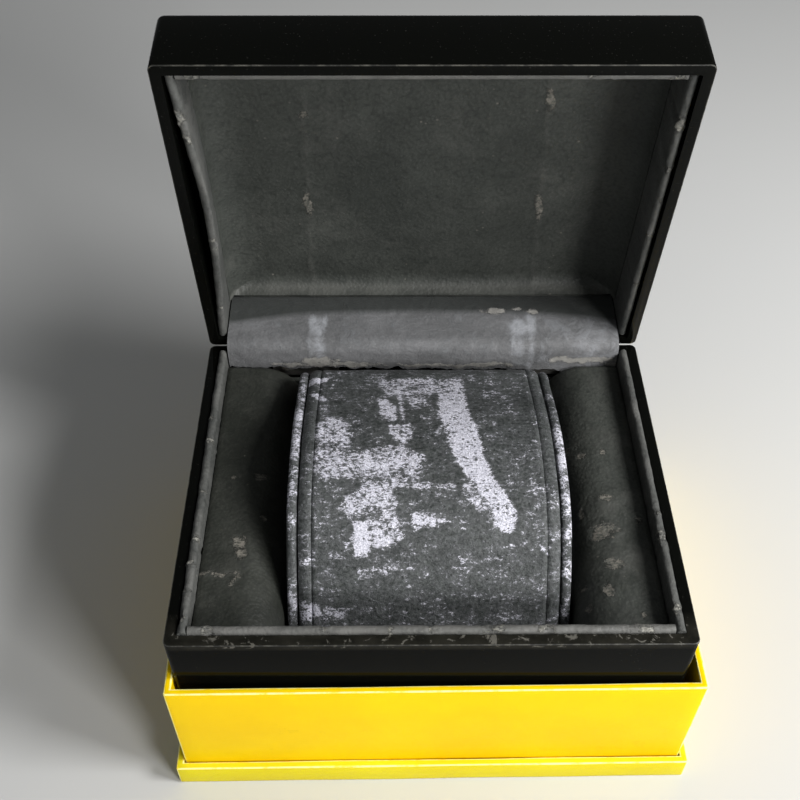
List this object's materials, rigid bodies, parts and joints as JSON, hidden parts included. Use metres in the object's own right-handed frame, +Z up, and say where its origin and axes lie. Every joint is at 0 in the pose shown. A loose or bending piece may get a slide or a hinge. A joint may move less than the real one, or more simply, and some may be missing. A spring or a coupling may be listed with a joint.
{
  "type": "watch box",
  "caption": "Hinged moulded watch box with a lined lid and an arched watch saddle, standing in the low base of its card carton",
  "frame": {"origin": "on the underside of the carton, below the middle of the box", "axes": "+Z up, X along the hinge, -Y towards the front of the box"},
  "size_m": [0.17, 0.1589, 0.2015],
  "materials": {
    "black_moulding": "polished, worn edges",
    "grey_leatherette": "worn, satin",
    "saddle_leatherette": "worn, peeling",
    "hinge_cloth": "matt, ragged lower edge",
    "grey_card": "matt",
    "yellow_paper": "printed paper over board",
    "hinge_steel": "plated"
  },
  "bodies": {
    "carton": {"carton_base": "yellow_paper", "carton_shoulder": "yellow_paper"},
    "box": {"base_liner_front": "grey_leatherette", "base_liner_left": "grey_leatherette", "base_liner_rear": "grey_leatherette", "base_liner_right": "grey_leatherette", "base_screw_left_inner": "hinge_steel", "base_screw_left_outer": "hinge_steel", "base_screw_right_inner": "hinge_steel", "base_screw_right_outer": "hinge_steel", "base_shell": "black_moulding", "hinge_base_leaf_left": "hinge_steel", "hinge_base_leaf_right": "hinge_steel", "hinge_flap": "hinge_cloth", "hinge_pin_left": "hinge_steel", "hinge_pin_right": "hinge_steel", "insert_platform": "grey_card", "pad_left": "grey_leatherette", "pad_right": "grey_leatherette"},
    "saddle": {"saddle_core": "grey_card", "saddle_face": "saddle_leatherette", "saddle_lining": "saddle_leatherette", "saddle_piping_left": "saddle_leatherette", "saddle_piping_right": "saddle_leatherette"},
    "lid": {"lid_shell": "black_moulding", "lid_liner_front": "grey_leatherette", "lid_liner_left": "grey_leatherette", "lid_liner_right": "grey_leatherette", "lid_pad": "grey_leatherette", "hinge_lid_leaf_left": "hinge_steel", "hinge_lid_leaf_right": "hinge_steel", "lid_screw_left_inner": "hinge_steel", "lid_screw_left_outer": "hinge_steel", "lid_screw_right_inner": "hinge_steel", "lid_screw_right_outer": "hinge_steel"}
  },
  "joints": [
    {"name": "box_lift", "type": "slide", "parent": "carton", "child": "box", "axis": [0, 0, 1], "range_m": [0, 0.065]},
    {"name": "lid_hinge", "type": "hinge", "parent": "box", "child": "lid", "pos_m": [0, 0.0613, 0.07705], "axis": [1, 0, 0], "range_deg": [0, 82.5], "deforming": ["hinge_flap"]},
    {"name": "saddle_lift", "type": "slide", "parent": "box", "child": "saddle", "axis": [0, 0, 1], "range_m": [0, 0.012]}
  ]
}
